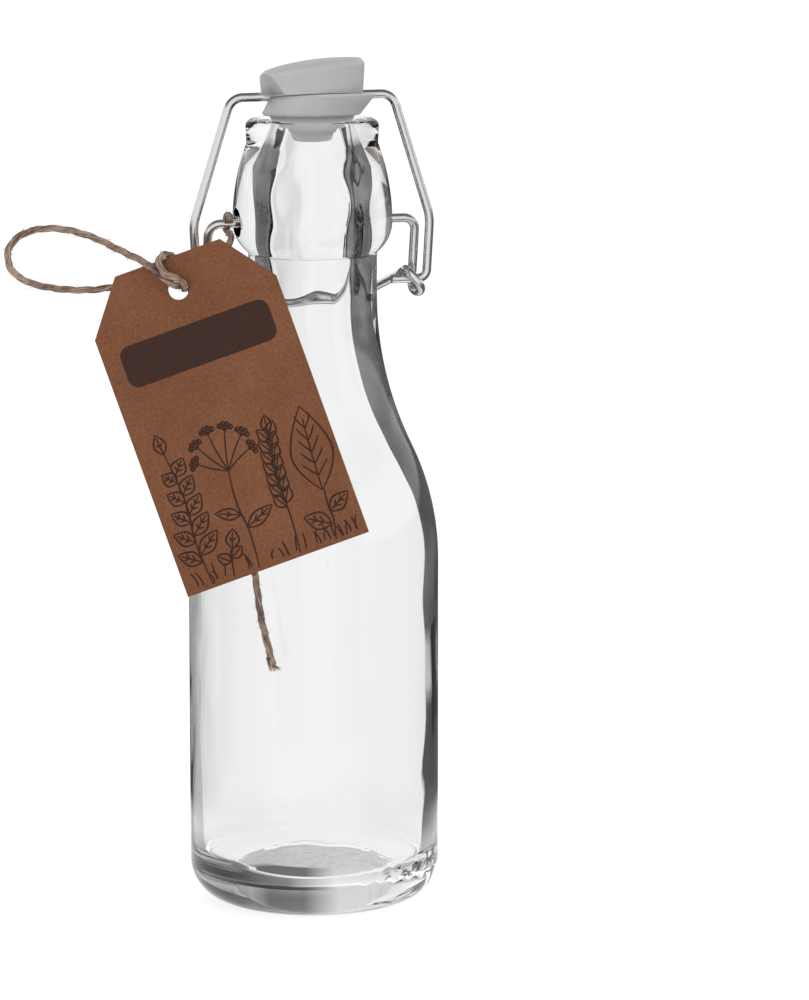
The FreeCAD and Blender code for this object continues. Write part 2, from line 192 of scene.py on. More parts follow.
# Out along the underside, then up the body, shoulder, neck and collar to the lip.
pen = bm.verts.new((0, 0, 6.6 * mm))
pen = run(bm, pen, 11.6, 6.4, 8)
pen = bend(bm, pen, 11.6, 5.4, -46, 5)
pen = run(bm, pen, 17.6, 0.63, 5)
pen = run(bm, pen, 18.5, 0)
pen = run(bm, pen, 21.1, 0, 3)
pen = bend(bm, pen, 21.1, 10, 90, 16)
pen = run(bm, pen, body_radius, shoulder_height, 26)
pen = bend(bm, pen, -33.77, shoulder_height, 25.94, 16)
pen = bend(bm, pen, 101.9, neck_height, -25.94, 20)
pen = run(bm, pen, 15.9, 162.4, 4)
pen = bend(bm, pen, 16.9, 162.4, -53.13, 5)
pen = bend(bm, pen, 10.2, pivot_height, 50.12, 14)
pen = bend(bm, pen, -35.26, pivot_height, 20.56, 28)
pen = run(bm, pen, 16.4, 193.9, 3)
pen = bend(bm, pen, 14.6, 193.9, 90, 10)
pen = run(bm, pen, 11.0, lip_height, 3)
pen = bend(bm, pen, 11.0, 194.6, 75, 5)
outside_count = len(bm.verts)
# Down the tapered mouth, the bore and the inner wall to the floor.
pen = run(bm, pen, bore_radius, 190.4, 4)
pen = run(bm, pen, bore_radius, neck_height, 26)
pen = bend(bm, pen, 81.88, neck_height, 31.32, 18)
pen = bend(bm, pen, -26.6, shoulder_height, -31.32, 16)
pen = run(bm, pen, 28, 14.9, 26)
pen = bend(bm, pen, 20.5, 14.9, -90, 18)
pen = run(bm, pen, 15.0, 10.0, 9)
pen = run(bm, pen, 14.2, 10.4)
pen = run(bm, pen, 0, 10.5, 12)
bm.verts.ensure_lookup_table()
for vert in bm.verts[outside_count:]:
    vert[inside] = 1
turn_profile(bm)


def near_dimple(vert, reach):
    """Whether a point of the outer glass is within a reach of the dimples' axis, in millimetres."""
    off_axis = math.hypot(vert.co.y, vert.co.z - pivot_height * mm)
    return off_axis < reach * mm and abs(vert.co.x) > 15 * mm and vert[inside] < 0.5


dimple_edges = [
    edge for edge in bm.edges if all(near_dimple(vert, dimple_reach) for vert in edge.verts)
]
bmesh.ops.subdivide_edges(bm, edges=dimple_edges, cuts=2, use_grid_fill=True)
for vert in bm.verts:
    if near_dimple(vert, dimple_reach):
        off_axis = math.hypot(vert.co.y, vert.co.z - pivot_height * mm) / mm
        flare = dimple_depth * (dimple_radius - off_axis) / (dimple_radius - socket_radius)
        floor_x = collar_radius - (socket_depth if off_axis < socket_radius else flare)
        across = abs(vert.co.x) / mm
        rounding = max(0.0, 0.5 - abs(across - floor_x) / 0.8)
        across = min(across, floor_x) - 0.4 * rounding * rounding
        vert.co.x = math.copysign(across * mm, vert.co.x)
for vert in bm.verts:
    radius = math.hypot(vert.co.x, vert.co.y)
    height = vert.co.z
    if radius > 1 * mm and vert[inside] > 0.5:
        around = Vector((vert.co.x, vert.co.y, 0)).normalized()
        swell = noise.noise(around * 1.6 + Vector((0, 0, height / (42 * mm))))
        ripple = noise.noise(around * 4.2 + Vector((7, 3, height / (11 * mm))))
        wave = noise.noise(around * 1.9 + Vector((2, 9, height / (8 * mm))))
        in_neck = held(min((height - 152 * mm) / (10 * mm), (190 * mm - height) / (8 * mm)))
        fine = neck_ripple_depth if height > 115 * mm else ripple_depth
        if height > inner_floor_top * mm:
            uneven = swell_depth * swell + fine * ripple + neck_wave_depth * in_neck * wave
            vert.co += around * uneven * mm
        else:
            edge = max(0.0, 1 - abs(radius - floor_edge_radius * mm) / (3.5 * mm))
            rightward = held((vert.co.dot(right_hand) / radius - 0.3) / 0.4)
            pits = floor_pit_depth * rightward * noise.noise(vert.co * 480)
            waves = (0.08 + floor_edge_wave * edge) * noise.noise(vert.co * 200)
            vert.co.z += (waves + (pits if radius > 14 * mm else 0.0)) * mm
for face in bm.faces:
    middle = face.calc_center_median()
    dimpled = all(near_dimple(vert, dimple_radius) for vert in face.verts)
    if middle.z < 7 * mm and math.hypot(middle.x, middle.y) < 18.6 * mm:
        face.material_index = under_slot
    elif dimpled or all(vert[inside] > 0.5 for vert in face.verts):
        face.material_index = inner_slot

# The outer skin has painted shade in the heel at the front left, and bends light less at the lip.
clear_glass, tree, surface, add = new_finish("clear_glass")
coords = add("TexCoord").outputs["Object"]
height = add("SeparateXYZ", _0=coords).outputs["Z"]
on_left = ramp(add, along(add, coords, right_hand), -0.020, -0.005, 1.0, 0.0)
in_front = ramp(add, along(add, coords, rearward), -0.004, 0.008, 1.0, 0.0)
low = ramp(add, height, 0.006, 0.016, 1.0, 0.0)
heel = calc(add, "MULTIPLY", calc(add, "MULTIPLY", on_left, in_front), low)
shaded_heel_colour = mix_colours(add, heel, glass_tint, heel_painted_shade)
tree.links.new(shaded_heel_colour, surface.inputs["Base Color"])
eased = ramp(add, height, 0.185, 0.1945, glass_index, lip_index)
tree.links.new(eased, surface.inputs["IOR"])
surface.inputs["Roughness"].default_value = 0.0
surface.inputs["Transmission Weight"].default_value = 1.0
finish_glass(tree, add, surface.outputs[0])

# The inner skin is uneven, and its full reflections carry painted shade: part of each is swallowed,
# by a share painted for each place.
inner_glass, tree, surface, add = new_finish("inner_glass")
coords = add("TexCoord").outputs["Object"]
spot = add("SeparateXYZ", _0=coords)
height = spot.outputs["Z"]
streak_noise = add("TexNoise", Vector=coords, Scale=38.0, Detail=2.0).outputs["Fac"]
off_patch = calc(add, "ABSOLUTE", calc(add, "SUBTRACT", height, 0.0605))
pale_reflection_patch = ramp(add, off_patch, 0.005, 0.01, 0.45, 0.0)
right_wall = calc(add, "ADD", ramp(add, streak_noise, 0.42, 0.66, 0.09, 0.22), pale_reflection_patch)
body = ramp(add, spot.outputs["X"], -0.012, 0.012, 0.62, right_wall)
base = ramp(add, along(add, coords, right_hand), -0.006, 0.005, 0.18, 0.95)
ripples = add("TexNoise", Vector=coords, Scale=160.0, Detail=2.0).outputs["Fac"]
outward = calc(add, "ABSOLUTE", spot.outputs["X"])
in_socket = ramp(add, outward, 0.0145, 0.0155, 0.0, 1.0)
neck = mix_colours(add, in_socket, ramp(add, ripples, 0.38, 0.62, 0.14, 0.24), socket_painted_reflection)
painted_reflection = mix_colours(add, ramp(add, height, 0.008, 0.02, 1.0, 0.0), body, base)
painted_reflection = mix_colours(add, ramp(add, height, 0.115, 0.15, 0.0, 1.0), painted_reflection, neck)
painted_reflection = mix_colours(add, ramp(add, height, 0.189, 0.192, 0.0, 0.8), painted_reflection, lip_painted_reflection)
bounced = add("BsdfAnisotropic", Color=painted_reflection, Roughness=0.0).outputs[0]
bent = add("BsdfRefraction", Color=glass_tint, Roughness=0.0, IOR=glass_index).outputs[0]
share = ramp(add, add("Fresnel", IOR=glass_index).outputs[0], 0.5, 0.98, 0.0, 1.0)
finish_glass(tree, add, mix_shaders(add, share, bent, bounced))
tree.nodes.remove(surface)

# The underside is frosted with pale specks. The front of its cone is plain, with painted shade on the
# left.
stippled_glass, tree, surface, add = new_finish("stippled_glass")
coords = add("TexCoord").outputs["Object"]
flat = add("VectorMath", {"operation": "MULTIPLY"}, _0=coords, _1=(1, 1, 0)).outputs[0]
outward = add("VectorMath", {"operation": "LENGTH"}, _0=flat).outputs["Value"]
cone_painted_shade = ramp(add, along(add, coords, right_hand), -0.002, 0.005, 0.2, 0.95)
back_cone = ramp(add, along(add, coords, rearward), -0.009, -0.004, 0.0, 1.0)
specked = ramp(add, outward, 0.0105, 0.0125, 1.0, back_cone)
specks = add("TexNoise", Vector=coords, Scale=700.0, Detail=3.0).outputs["Fac"]
shade = mix_colours(add, specked, cone_painted_shade, ramp(add, specks, 0.35, 0.6, 0.8, 0.98))
below = add("BsdfDiffuse", Color=shade).outputs[0]
above = add("BsdfTranslucent", Color=shade).outputs[0]
finish_glass(tree, add, mix_shaders(add, 0.5, below, above))
tree.nodes.remove(surface)

bottle = new_piece("glass_bottle", bm, clear_glass)
bottle.data.materials.append(inner_glass)
bottle.data.materials.append(stippled_glass)
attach(bottle, "bottle")
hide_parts("bottle")

# Closure wires.
# Two lengths of bright plated spring steel, drawn round and bent on a former: the lever turns in the
# glass dimples, and the bail runs from the lever's eyes over the stopper.
steel_colour = (0.74, 0.735, 0.725, 1)

steel_wire, tree, surface, add = new_finish("steel_wire")
surface.inputs["Base Color"].default_value = steel_colour
surface.inputs["Metallic"].default_value = 1.0
coords = add("TexCoord").outputs["Object"]
scuffs = add("TexNoise", Vector=coords, Scale=900.0, Detail=4.0, Roughness=0.6).outputs["Fac"]
tree.links.new(ramp(add, scuffs, 0.3, 0.75, 0.16, 0.3), surface.inputs["Roughness"])
dents = add("Bump", Strength=0.05, Distance=0.0002, Height=scuffs)
tree.links.new(dents.outputs[0], surface.inputs["Normal"])
for name in ("lever_wire", "bail_wire"):
    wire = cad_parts[name]
    wire.data.materials.clear()
    wire.data.materials.append(steel_wire)

# Stopper.
# A cap of grey-white plastic, moulded with a slanted knob, and a soft sealing ring of the same shade
# that is held between its flange and its button.
cap_colour = (0.56, 0.55, 0.54, 1)
ring_colour = (0.54, 0.53, 0.52, 1)
# Painted light for the parts of the stopper inside the bottle's mouth.
mouth_painted_light = (0.95, 0.94, 0.93, 1)
button_foot = 190.6
button_top = 192.8
stem_radius = 5.9
flange_foot = 199.9
flange_radius = 9.6
knob_foot = 201.5
knob_height = 9.0
knob_radius = 12.9
knob_side = 7.4
dome_radius = 57.0
dome_peak = 7.0
facet_foot = 9.2
facet_height = 6.4
front_lean = 0.12
back_lean = 0.045
ring_slide = 2.7


def moulded_plastic(name, colour):
    """A slightly see-through moulded plastic with a fine uneven skin, and painted light inside the
    mouth.
    """
    material, tree, surface, add = new_finish(name)
    coords = add("TexCoord").outputs["Object"]
    height = add("SeparateXYZ", _0=coords).outputs["Z"]
    # Painted light: below the lip the colour is lifted towards a pale shade, where little light
    # reaches.
    sunk = ramp(add, height, 0.1945, 0.1965, 0.6, 0.0)
    with_painted_light = mix_colours(add, sunk, colour, mouth_painted_light)
    clouds = add("TexNoise", Vector=coords, Scale=140.0, Detail=3.0).outputs["Fac"]
    shade = add("MixRGB", {"blend_type": "MULTIPLY"}, Fac=0.25, Color1=with_painted_light, Color2=clouds)
    tree.links.new(shade.outputs[0], surface.inputs["Base Color"])
    surface.inputs["Roughness"].default_value = 0.42
    surface.inputs["Subsurface Weight"].default_value = 0.35
    surface.inputs["Subsurface Radius"].default_value = (1.0, 0.95, 0.9)
    surface.inputs["Subsurface Scale"].default_value = 0.004
    grain = add("TexNoise", Vector=coords, Scale=2600.0, Detail=2.0).outputs["Fac"]
    skin = add("Bump", Strength=0.06, Distance=0.0001, Height=grain)
    tree.links.new(skin.outputs[0], surface.inputs["Normal"])
    return material


def lean_back(bm, raised_from):
    """Raises the front of what stands over a height, as the stopper leans back on its bar."""
    for vert in bm.verts:
        lift = held((vert.co.z - raised_from * mm) / (1.4 * mm))
        vert.co.z -= lift * vert.co.y * (front_lean if vert.co.y < 0 else back_lean)


bm = bmesh.new()
pen = bm.verts.new((0, 0, button_foot * mm))
pen = run(bm, pen, 6.3, button_foot, 4)
pen = run(bm, pen, 7.8, button_top, 3)
pen = run(bm, pen, stem_radius, button_top)
pen = run(bm, pen, stem_radius, flange_foot, 3)
pen = run(bm, pen, flange_radius, flange_foot, 3)
pen = run(bm, pen, flange_radius, knob_foot - 0.3, 2)
pen = run(bm, pen, 12.5, knob_foot, 2)
pen = run(bm, pen, knob_radius, knob_foot + knob_side, 22)
pen = bend(bm, pen, 11.1, knob_foot + knob_side, 90, 6)
pen = run(bm, pen, 0, knob_foot + knob_height, 12)
turn_profile(bm)
for vert in bm.verts:
    x, y, z = vert.co / mm
    if z > knob_foot:
        rise = math.sqrt(dome_radius ** 2 - (x - dome_peak) ** 2 - y ** 2)
        top = knob_height - dome_radius + rise
        z = knob_foot + (z - knob_foot) * top / knob_height
        side = math.copysign(1, x)
        slot = held((2.6 + side * y) / 1.2) if z < knob_foot + facet_height else 0.0
        facet = facet_foot + (knob_radius - facet_foot) * (z - knob_foot) / facet_height
        x -= side * slot * max(0.0, abs(x) - facet)
        vert.co = Vector((x, y, z)) * mm
lean_back(bm, 197.2)
cap = new_piece("stopper_cap_moulded", bm, moulded_plastic("stopper_plastic", cap_colour))
cap.data.set_sharp_from_angle(angle=math.radians(50))
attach(cap, "stopper")
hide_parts("stopper_cap")

bm = bmesh.new()
pen = bm.verts.new((6.1 * mm, 0, button_top * mm))
seam = pen
pen = run(bm, pen, 8.6, button_top, 2)
pen = run(bm, pen, 9.5, 194.5, 2)
pen = run(bm, pen, 10.25, 195.75)
pen = run(bm, pen, 10.5, 196.7)
pen = run(bm, pen, 11.6, 196.7, 2)
pen = bend(bm, pen, 11.6, 197.5, 75, 5)
pen = run(bm, pen, 13.0, 201.0, 5)
pen = bend(bm, pen, 12.6, 200.9, 90, 4)
pen = run(bm, pen, 6.1, 201.3, 3)
bm.edges.new((pen, seam))
turn_profile(bm)
for vert in bm.verts:
    slide = held((vert.co.z - 197.2 * mm) / (4.0 * mm))
    rough = 0.16 * noise.noise(vert.co * 170)
    vert.co += right_hand * (ring_slide * slide + rough * min(1.0, 2 * slide)) * mm
lean_back(bm, 196.2)
ring = new_piece("stopper_seal_ring", bm, moulded_plastic("gasket_plastic", ring_colour))
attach(ring, "stopper")
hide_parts("stopper_gasket")

# Card tag.
# Brown kraft card, die-cut with clipped upper corners and one punched hole, and printed in dark brown
# with a blank writing field and leaf sprigs. It leans from the hole down over the shoulder.
tag_hole = Vector((-38.8755, -16.9407, 158.1)) * mm
tag_lean = math.radians(7.2133)
tag_right = Vector((0.961262, -0.275637, 0))
tag_up = Vector((
    0.275637 * math.sin(tag_lean), 0.961262 * math.sin(tag_lean), math.cos(tag_lean)
))
tag_front = tag_right.cross(tag_up)
tag_turn = math.radians(19.7)
card_thickness = 0.6
card_outline = [
    (-13.45, 7), (13.45, 7), (23.3, -5.9), (23.3, -71.9), (-23.3, -71.9), (-23.3, -5.9)
]
hole_radius = 2.45
hole_offset = (-0.09, -1.14)
rim_rounding = 0.09
field_height = -15.0
field_half_size = (19.0, 5.2)
field_corner = 2.6
kraft_colour = (0.238, 0.099, 0.050, 1)
kraft_dark = (0.152, 0.057, 0.027, 1)
ink_colour = (0.047, 0.024, 0.019, 1)


def on_tag(right, up, front):
    """A point in front of the card's middle plane, from the middle of its hole, in millimetres."""
    return tag_hole + (tag_right * right + tag_up * up + tag_front * front) * mm


card_place = Matrix((tag_right, tag_up, tag_front)).transposed().to_4x4()
card_place.translation = tag_hole
card_place = card_place @ Matrix.Rotation(tag_turn, 4, "Z") @ Matrix.Scale(mm, 4)

bm = bmesh.new()
corners = [bm.verts.new((x, y, -card_thickness / 2)) for x, y in card_outline]
for corner, following in zip(corners, corners[1:] + corners[:1]):
    bm.edges.new((corner, following))
bmesh.ops.create_circle(
    bm, segments=40, radius=hole_radius,
    matrix=Matrix.Translation((*hole_offset, -card_thickness / 2)),
)
bmesh.ops.triangle_fill(bm, use_beauty=True, use_dissolve=True, edges=bm.edges[:])
bmesh.ops.recalc_face_normals(bm, faces=bm.faces)
raised = bmesh.ops.extrude_face_region(bm, geom=bm.faces[:])
bmesh.ops.translate(
    bm, verts=[part for part in raised["geom"] if isinstance(part, bmesh.types.BMVert)],
    vec=(0, 0, card_thickness),
)
bmesh.ops.recalc_face_normals(bm, faces=bm.faces)
rims = [edge for edge in bm.edges if edge.is_manifold and edge.calc_face_angle() > 1.0]
bmesh.ops.bevel(
    bm, geom=rims, offset=rim_rounding, offset_type="OFFSET", affect="EDGES",
    segments=2, profile=0.5, material=-1,
)
bmesh.ops.transform(bm, matrix=card_place, verts=bm.verts)

kraft_card, tree, surface, add = new_finish("kraft_card")
coords = add("TexCoord").outputs["Object"]
fibres = add("TexNoise", Vector=coords, Scale=1500.0, Detail=5.0, Roughness=0.65).outputs["Fac"]
mottle = add("TexNoise", Vector=coords, Scale=70.0, Detail=4.0).outputs["Fac"]
tone = ramp(add, calc(add, "MULTIPLY_ADD", mottle, 0.5, fibres), 0.52, 0.95, 0.0, 1.0)
brown = mix_colours(add, tone, kraft_dark, kraft_colour)
tree.links.new(brown, surface.inputs["Base Color"])
surface.inputs["Roughness"].default_value = 0.82
surface.inputs["Specular IOR Level"].default_value = 0.2
paper = add("Bump", Strength=0.25, Distance=0.0002, Height=fibres)
tree.links.new(paper.outputs[0], surface.inputs["Normal"])

card = new_piece("tag_card_kraft", bm, kraft_card)
card.data.set_sharp_from_angle(angle=math.radians(40))
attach(card, "tag")
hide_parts("tag_card")

print_ink, tree, surface, add = new_finish("print_ink")
coords = add("TexCoord").outputs["Object"]
specks = add("TexNoise", Vector=coords, Scale=2400.0, Detail=4.0, Roughness=0.7).outputs["Fac"]
inked = mix_colours(add, ramp(add, specks, 0.52, 0.74, 0.0, 0.35), ink_colour, kraft_dark)
tree.links.new(inked, surface.inputs["Base Color"])
surface.inputs["Roughness"].default_value = 0.75
surface.inputs["Specular IOR Level"].default_value = 0.15

bm = bmesh.new()
field_place = Matrix.Translation((0, field_height, card_thickness / 2 + 0.015))
bmesh.ops.create_grid(
    bm, x_segments=1, y_segments=1, size=1,
    matrix=field_place @ Matrix.Diagonal((*field_half_size, 1, 1)),
)
bmesh.ops.bevel(
    bm, geom=bm.verts[:], offset=field_corner, offset_type="OFFSET", affect="VERTICES",
    segments=6, profile=0.5, material=-1,
)
bmesh.ops.inset_region(bm, faces=bm.faces[:], thickness=0.9, use_even_offset=True)
middle = max(bm.faces, key=lambda face: face.calc_area())
border = bmesh.ops.inset_region(bm, faces=[middle], thickness=0.28, use_even_offset=True)
bmesh.ops.delete(bm, geom=border["faces"], context="FACES_ONLY")
bmesh.ops.transform(bm, matrix=card_place, verts=bm.verts)
field = new_piece("tag_writing_field", bm, print_ink)
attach(field, "tag")

drawing = bpy.data.curves.new("tag_drawing", "CURVE")
drawing.dimensions = "3D"
drawing.resolution_u = 6
drawing.bevel_depth = 0.21
drawing.bevel_resolution = 0


def pen_line(*points):
    """A drawn line on the card that swells in its middle and thins out at its ends."""
    spline = drawing.splines.new("NURBS")
    spline.points.add(len(points) - 1)
    for index, (control, (x, y)) in enumerate(zip(spline.points, points)):
        control.co = (x, y, 0, 1)
        control.radius = 0.72 if index in (0, len(points) - 1) else 1.1
    spline.order_u = 3
    spline.use_endpoint_u = True


def along_pen(start, degrees, forward, aside):
    """A point so far ahead of a start in a direction, and so far to its left."""
    turn = math.radians(degrees)
    return (
        start[0] + forward * math.cos(turn) - aside * math.sin(turn),
        start[1] + forward * math.sin(turn) + aside * math.cos(turn),
    )


def drawn_leaf(start, degrees, length, width, veins=0):
    """A pointed leaf: two edges, a midrib and slanted veins."""

    def leaf_point(forward, aside):
        return along_pen(start, degrees, forward, aside)

    tip = leaf_point(length, 0)
    for side in (1, -1):
        belly = leaf_point(0.3 * length, side * width * 0.72)
        waist = leaf_point(0.72 * length, side * width * 0.5)
        pen_line(start, belly, waist, tip)
        for vein in range(veins):
            place = (vein + 1.2) / (veins + 2)
            pen_line(
                leaf_point(length * place, 0),
                leaf_point(length * (place + 0.07), side * width * 0.16),
                leaf_point(length * (place + 0.16), side * width * (0.42 - 0.26 * place)),
            )
    pen_line(start, leaf_point(0.5 * length, 0.04 * width), leaf_point(0.86 * length, 0))


def drawn_seed(start, radius):
    """A small round seed with a highlight stroke."""
    pen_line(*(along_pen(start, angle, radius, 0) for angle in (0, 60, 120, 180, 240, 300, 360)))
    highlight = ((100, 0.5), (150, 0.55), (200, 0.5))
    pen_line(*(along_pen(start, angle, share * radius, 0) for angle, share in highlight))


dice = random.Random(5)
foot = -71.0
# A leafy stalk on the left.
pen_line((-16.4, foot), (-17.6, -60), (-15.4, -50), (-17.0, -37.5))
stalk_places = [(-17.0, -63.5), (-16.9, -58.5), (-16.4, -53.5), (-16.2, -48.5), (-16.3, -43.5)]
for step, (x, y) in enumerate(stalk_places):
    drawn_leaf((x, y), 38 + 3 * step, 7.4 - 0.6 * step, 3.0, 2)
    drawn_leaf((x, y - 1.6), 146 - 3 * step, 6.2 - 0.5 * step, 2.8, 2)
drawn_leaf((-17.0, -37.5), 96, 5.2, 2.4, 1)

# A seed head on a tall stem.
crown = (-3.6, -46.5)
pen_line((-4.6, foot), (-3.4, -62), (-5.0, -54), crown)
for angle, length in ((28, 7.2), (52, 9.0), (76, 9.8), (100, 10.0), (124, 9.2), (149, 7.4)):
    head = along_pen(crown, angle, length, 0)
    pen_line(crown, along_pen(crown, angle, length * 0.5, 0.5), head)
    for spread in (-60, -25, 10, 45):
        bud = along_pen(head, angle + spread, 1.7, 0)
        pen_line(head, along_pen(head, angle + spread, 0.9, 0.1), bud)
        drawn_seed(bud, 0.55)
drawn_leaf((-4.0, -61.0), 24, 8.2, 2.6, 2)
drawn_leaf((-4.4, -57.5), 158, 6.4, 2.2, 1)

# An ear of grain.
pen_line((6.0, foot), (7.0, -62), (6.4, -52), (8.6, -40.5))
for step in range(7):
    y = -58.5 + 2.7 * step
    x = 6.7 + 0.018 * (y + 58.5) ** 2 * 0.35
    drawn_leaf((x, y), 62, 4.4, 2.2)
    drawn_leaf((x, y - 0.9), 122, 4.4, 2.2)
drawn_leaf((8.5, -40.8), 84, 4.2, 2.0)

# A broad leaf on the right, a seedling and grass.
pen_line((15.2, foot), (16.6, -66), (16.0, -62.5), (16.6, -58.5))
drawn_leaf((16.2, -58.5), 86, 21.0, 8.2, 5)
drawn_leaf((15.6, -67.0), 148, 7.0, 3.4, 2)
drawn_leaf((16.2, -64.0), 30, 6.4, 3.0, 2)
pen_line((-11.0, foot), (-10.4, -67), (-9.2, -64.5))
drawn_leaf((-9.2, -64.5), 70, 4.8, 2.6, 1)
drawn_leaf((-10.2, -66.6), 30, 4.0, 2.2)
drawn_leaf((-10.4, -67.4), 140, 3.8, 2.2)
for _ in range(26):
    x = dice.uniform(-21.5, 21.5)
    y = foot + dice.uniform(0.2, 1.0)
    bow = (x + dice.uniform(-0.3, 0.5), y + 1.4)
    pen_line((x, y), bow, (x + dice.uniform(-1.0, 1.0), y + dice.uniform(2.2, 4.2)))

drawing_holder = bpy.data.objects.new("tag_drawing", drawing)
bm = bmesh.new()
bm.from_mesh(bpy.data.meshes.new_from_object(drawing_holder))
bpy.data.objects.remove(drawing_holder)
bmesh.ops.scale(bm, vec=(1, 1, 0.03), verts=bm.verts)
bmesh.ops.translate(bm, vec=(0, 0, card_thickness / 2 + 0.012), verts=bm.verts)
bmesh.ops.transform(bm, matrix=card_place, verts=bm.verts)
drawn = new_piece("tag_leaf_drawing", bm, print_ink)
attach(drawn, "tag")

# Jute twine.
# One length of twisted jute string: a turn round the lever's left arm, a slack lead to a knot behind
# the tag, a loop and a wrap through the hole, and a tail that hangs out below the card.
ply_count = 3
ply_diameter = 1.0
ply_offset = 0.42
twist_pitch = 13.0
hair_root = 0.12
hair_taper = 0.03
jute_pale = (0.46, 0.33, 0.25, 1)
jute_dark = (0.10, 0.062, 0.048, 1)


def smooth_line(name, points):
    """The line of a string: a NURBS spline with the route's points as its control points."""
    curve = bpy.data.curves.new(name, "CURVE")
    curve.dimensions = "3D"
    curve.resolution_u = 20
    spline = curve.splines.new("NURBS")
    spline.points.add(len(points) - 1)
    for control, place in zip(spline.points, points):
        control.co = (*place, 1)
    spline.order_u = 3
    spline.use_endpoint_u = True
    holder = bpy.data.objects.new(name, curve)
    mesh = bpy.data.meshes.new_from_object(holder)
    line = [vert.co.copy() for vert in mesh.vertices]
    bpy.data.objects.remove(holder)
    bpy.data.curves.remove(curve)
    bpy.data.meshes.remove(mesh)
    return line


def frames_along(line):
    """For each point of a line: the point, two directions across it and the length run so far."""
    across = (line[1] - line[0]).orthogonal().normalized()
    run_so_far = 0.0
    frames = []
    for index, point in enumerate(line):
        ahead = line[min(index + 1, len(line) - 1)] - line[max(index - 1, 0)]
        ahead.normalize()
        across = (across - ahead * across.dot(ahead)).normalized()
        frames.append((point, across, ahead.cross(across), run_so_far))
        if index + 1 < len(line):
            run_so_far += (line[index + 1] - point).length
    return frames


def tube_mesh(plies, hairs, radius):
    """Round plies along lines and thin loose hairs, as one mesh with the strands' own UV map."""
    curve = bpy.data.curves.new("strands", "CURVE")
    curve.dimensions = "3D"
    curve.bevel_depth = radius
    curve.bevel_resolution = 2
    curve.use_fill_caps = True
    for strand, line in enumerate(plies + hairs):
        is_hair = strand >= len(plies)
        spline = curve.splines.new("POLY")
        spline.points.add(len(line) - 1)
        for index, (control, place) in enumerate(zip(spline.points, line)):
            control.co = (*place, 1)
            control.radius = hair_root - hair_taper * index if is_hair else 1.0
    holder = bpy.data.objects.new("strands", curve)
    mesh = bpy.data.meshes.new_from_object(holder)
    bpy.data.objects.remove(holder)
    bpy.data.curves.remove(curve)
    return mesh


def twisted(line):
    """The plies of a string, wound round its line."""
    plies = []
    for phase in (number * math.tau / ply_count for number in range(ply_count)):
        ply = []
        for point, across, over, run_so_far in frames_along(line):
            angle = phase - math.tau * run_so_far / (twist_pitch * mm)
            outward = across * math.cos(angle) + over * math.sin(angle)
            ply.append(point + outward * ply_offset * mm)
        plies.append(ply)
    return plies


def loose_hairs(line, count):
    """Short fibres that stand off a string at random places."""
    hairs = []
    frames = frames_along(line)
    for _ in range(count):
        index = dice.randrange(1, len(frames) - 1)
        point, across, over, _run = frames[index]
        angle = dice.uniform(0, math.tau)
        outward = across * math.cos(angle) + over * math.sin(angle)
        ahead = (line[index + 1] - line[index - 1]).normalized() * dice.choice((-1, 1))
        reach = dice.uniform(0.3, 1.0) * mm
        root = point + outward * 0.8 * mm
        bow = root + outward * 0.4 * reach + ahead * 0.6 * reach
        hairs.append([root, bow, root + outward * reach + ahead * 1.2 * reach])
    return hairs


jute, tree, surface, add = new_finish("jute")
strand = add("Mapping", Vector=add("TexCoord").outputs["UV"], Scale=(9.0, 7.0, 1.0)).outputs[0]
fibre = add("TexNoise", Vector=strand, Scale=1.0, Detail=5.0, Roughness=0.65).outputs["Fac"]
coords = add("TexCoord").outputs["Object"]
patch = add("TexNoise", Vector=coords, Scale=420.0, Detail=3.0).outputs["Fac"]
tone = ramp(add, calc(add, "MULTIPLY_ADD", patch, 0.5, fibre), 0.62, 0.9, 0.0, 1.0)
tree.links.new(mix_colours(add, tone, jute_dark, jute_pale), surface.inputs["Base Color"])
surface.inputs["Roughness"].default_value = 0.9
rough = add("Bump", Strength=0.6, Distance=0.0003, Height=fibre)
tree.links.new(rough.outputs[0], surface.inputs["Normal"])


def new_string(name, points, hair_count, frayed=()):
    """A twisted string along a route, as a mesh piece, and the line that it follows."""
    line = smooth_line(name, points)
    hairs = loose_hairs(line, hair_count) + list(frayed)
    mesh = tube_mesh(twisted(line), hairs, ply_diameter / 2 * mm)
    mesh.materials.clear()
    mesh.materials.append(jute)
    mesh.shade_smooth()
    piece = bpy.data.objects.new(name, mesh)
    bpy.context.scene.collection.objects.link(piece)
    return piece, line


hitch_middle = Vector((-21.55, 0, pivot_height)) * mm
hitch_radius = 2.36
hitch_route = []
for angle in (165, 122, 80, 37, -5, -48, -80):
    turn = math.radians(angle)
    outward = Vector((0, math.cos(turn), math.sin(turn)))
    hitch_route.append(hitch_middle + outward * hitch_radius * mm)
hitch_foot = hitch_middle - Vector((0, 0, 2.2 * mm))
knot_back = 5.05
lead_route = [
    hitch_foot + Vector((0, -3.0, 0)) * mm,
    hitch_foot + Vector((-1.2, -6.3, -1.6)) * mm,
    hitch_foot + Vector((-3.2, -8.4, -5.2)) * mm,
    hitch_foot + Vector((-5.4, -8.8, -9.4)) * mm,
    hitch_foot + Vector((-8.0, -8.2, -13.2)) * mm,
    on_tag(4.2, -1.2, -knot_back - 6.4),
    on_tag(3.6, 0.2, -knot_back - 4.6),
    on_tag(2.6, 1.0, -knot_back - 2.0),
    on_tag(2.4, 1.1, -knot_back + 0.6),
]
lead, lead_line = new_string("twine_lead_strands", hitch_route + lead_route, 40)
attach(lead, "bottle")
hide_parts("twine_hitch", "twine_lead")

